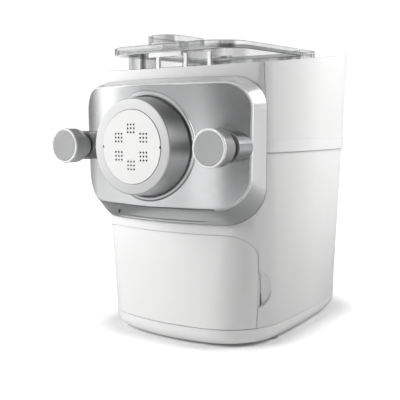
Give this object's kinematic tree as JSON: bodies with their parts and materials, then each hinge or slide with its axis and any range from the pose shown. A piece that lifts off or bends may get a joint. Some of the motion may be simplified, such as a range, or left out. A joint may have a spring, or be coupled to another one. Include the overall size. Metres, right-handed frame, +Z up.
{
  "type": "electric pasta maker",
  "caption": "Counter-top pasta extruder with clear mixing chamber and lid, removable bowed front panel with shaping disc and screw nut, two clamp knobs, and a storage drawer",
  "frame": {"origin": "middle of the overall box in X and Y, on the surface the feet stand on", "axes": "+Z up; -Y is the front, where the pasta comes out and the drawer opens; +X is to the right seen from the front"},
  "size_m": [0.2027, 0.2914, 0.2884],
  "materials": {
    "white_shell": "white moulded plastic, fine satin gloss",
    "white_inner": "white moulded plastic, matt",
    "die_white": "white plastic, smooth matt",
    "clear_plastic": "clear polished plastic",
    "silver_panel": "satin silver",
    "silver_bright": "fine satin silver",
    "chrome_trim": "polished",
    "knob_grey": "grey satin face",
    "knob_shell": "light grey satin, bright rim",
    "grey_plastic": "moulded, matt",
    "gear_plastic": "acetal, self lubricating",
    "dark_plastic": "matt",
    "dark_window": "polished",
    "steel": "turned steel",
    "motor_steel": "zinc plated",
    "circuit_board": "glass fibre board",
    "rubber": "matt",
    "seal": "translucent silicone"
  },
  "bodies": {
    "root": {"housing_shell": "white_shell", "front_fascia": "white_shell", "top_deck": "white_shell", "display_window": "dark_window", "switches": "dark_plastic", "control_board": "circuit_board", "display_module": "dark_plastic", "base_tray": "white_shell", "rubber_feet": "rubber", "load_cells": "motor_steel", "chassis": "grey_plastic", "knob_studs": "steel", "mixing_chamber": "clear_plastic", "shaft_seal": "seal", "chamber_clip": "white_inner", "gearbox_housing": "grey_plastic", "gearbox_cover": "grey_plastic", "idler_axle": "steel", "output_bearings": "steel", "motor_housing": "motor_steel", "motor_stator": "motor_steel", "side_bands": "white_shell", "lid_hinge_ears": "white_shell", "hinge_pins": "steel", "power_inlet": "dark_plastic", "power_board": "circuit_board", "board_components": "dark_plastic", "gearbox_screws": "steel", "base_screws": "steel", "drawer_rails": "white_inner"},
    "start_button": {"button_start": "white_shell"},
    "minus_button": {"button_minus": "white_shell"},
    "plus_button": {"button_plus": "white_shell"},
    "menu_button": {"button_menu": "white_shell"},
    "drive": {"output_gear": "gear_plastic", "drive_shaft": "steel", "mixing_paddle": "grey_plastic", "extruder_auger": "grey_plastic"},
    "idler": {"idler_gear": "gear_plastic"},
    "rotor": {"motor_shaft": "steel", "motor_armature": "motor_steel", "motor_pinion": "steel"},
    "panel": {"front_panel": "silver_panel", "nut_collar": "silver_bright", "panel_back": "grey_plastic", "extrusion_tube": "grey_plastic", "tube_seal": "seal", "knob_bosses": "chrome_trim", "shaping_disc": "die_white", "flange_screws": "steel"},
    "nut": {"die_nut": "silver_bright"},
    "knob_left": {"left_knob": "knob_shell", "left_knob_cap": "knob_grey"},
    "knob_right": {"right_knob": "knob_shell", "right_knob_cap": "knob_grey"},
    "lid_body": {"lid": "clear_plastic", "lid_inlet": "clear_plastic", "lid_seal": "seal"},
    "drawer": {"drawer_front": "white_shell", "drawer_tray": "white_inner"}
  },
  "joints": [
    {"name": "start_press", "type": "slide", "parent": "root", "child": "start_button", "axis": [0, 0.1143, -0.9935], "range_m": [0, 0.001], "stiffness_N_per_m": 700},
    {"name": "minus_press", "type": "slide", "parent": "root", "child": "minus_button", "axis": [0, 0.1143, -0.9935], "range_m": [0, 0.001], "stiffness_N_per_m": 700},
    {"name": "plus_press", "type": "slide", "parent": "root", "child": "plus_button", "axis": [0, 0.1143, -0.9935], "range_m": [0, 0.001], "stiffness_N_per_m": 700},
    {"name": "menu_press", "type": "slide", "parent": "root", "child": "menu_button", "axis": [0, 0.1143, -0.9935], "range_m": [0, 0.001], "stiffness_N_per_m": 700},
    {"name": "drive_spin", "type": "hinge", "parent": "root", "child": "drive", "pos_m": [0, -0.02508, 0.185], "axis": [0, 1, 0], "continuous": true},
    {"name": "idler_spin", "type": "hinge", "parent": "root", "child": "idler", "pos_m": [-0.0245, 0.06993, 0.14256], "axis": [0, 1, 0], "continuous": true},
    {"name": "rotor_spin", "type": "hinge", "parent": "root", "child": "rotor", "pos_m": [0.00644, 0.10493, 0.11163], "axis": [0, 1, 0], "continuous": true},
    {"name": "panel_pull", "type": "slide", "parent": "root", "child": "panel", "axis": [0, -1, 0], "range_m": [0, 0.09]},
    {"name": "nut_turn", "type": "hinge", "parent": "panel", "child": "nut", "pos_m": [0, -0.13007, 0.185], "axis": [0, -1, 0], "range_deg": [0, 360]},
    {"name": "left_knob_turn", "type": "hinge", "parent": "panel", "child": "knob_left", "pos_m": [-0.0815, -0.13508, 0.185], "axis": [0, -1, 0], "range_deg": [0, 720]},
    {"name": "right_knob_turn", "type": "hinge", "parent": "panel", "child": "knob_right", "pos_m": [0.0815, -0.13508, 0.185], "axis": [0, -1, 0], "range_deg": [0, 720]},
    {"name": "lid_hinge", "type": "hinge", "parent": "root", "child": "lid_body", "pos_m": [0, 0.07892, 0.2819], "axis": [-1, 0, 0], "range_deg": [0, 95]},
    {"name": "drawer_slide", "type": "slide", "parent": "root", "child": "drawer", "axis": [0, -1, 0], "range_m": [0, 0.15]}
  ],
  "couplings": [
    {"joint": "idler_spin", "follows": "drive_spin", "ratio": -3},
    {"joint": "rotor_spin", "follows": "drive_spin", "ratio": 12}
  ]
}
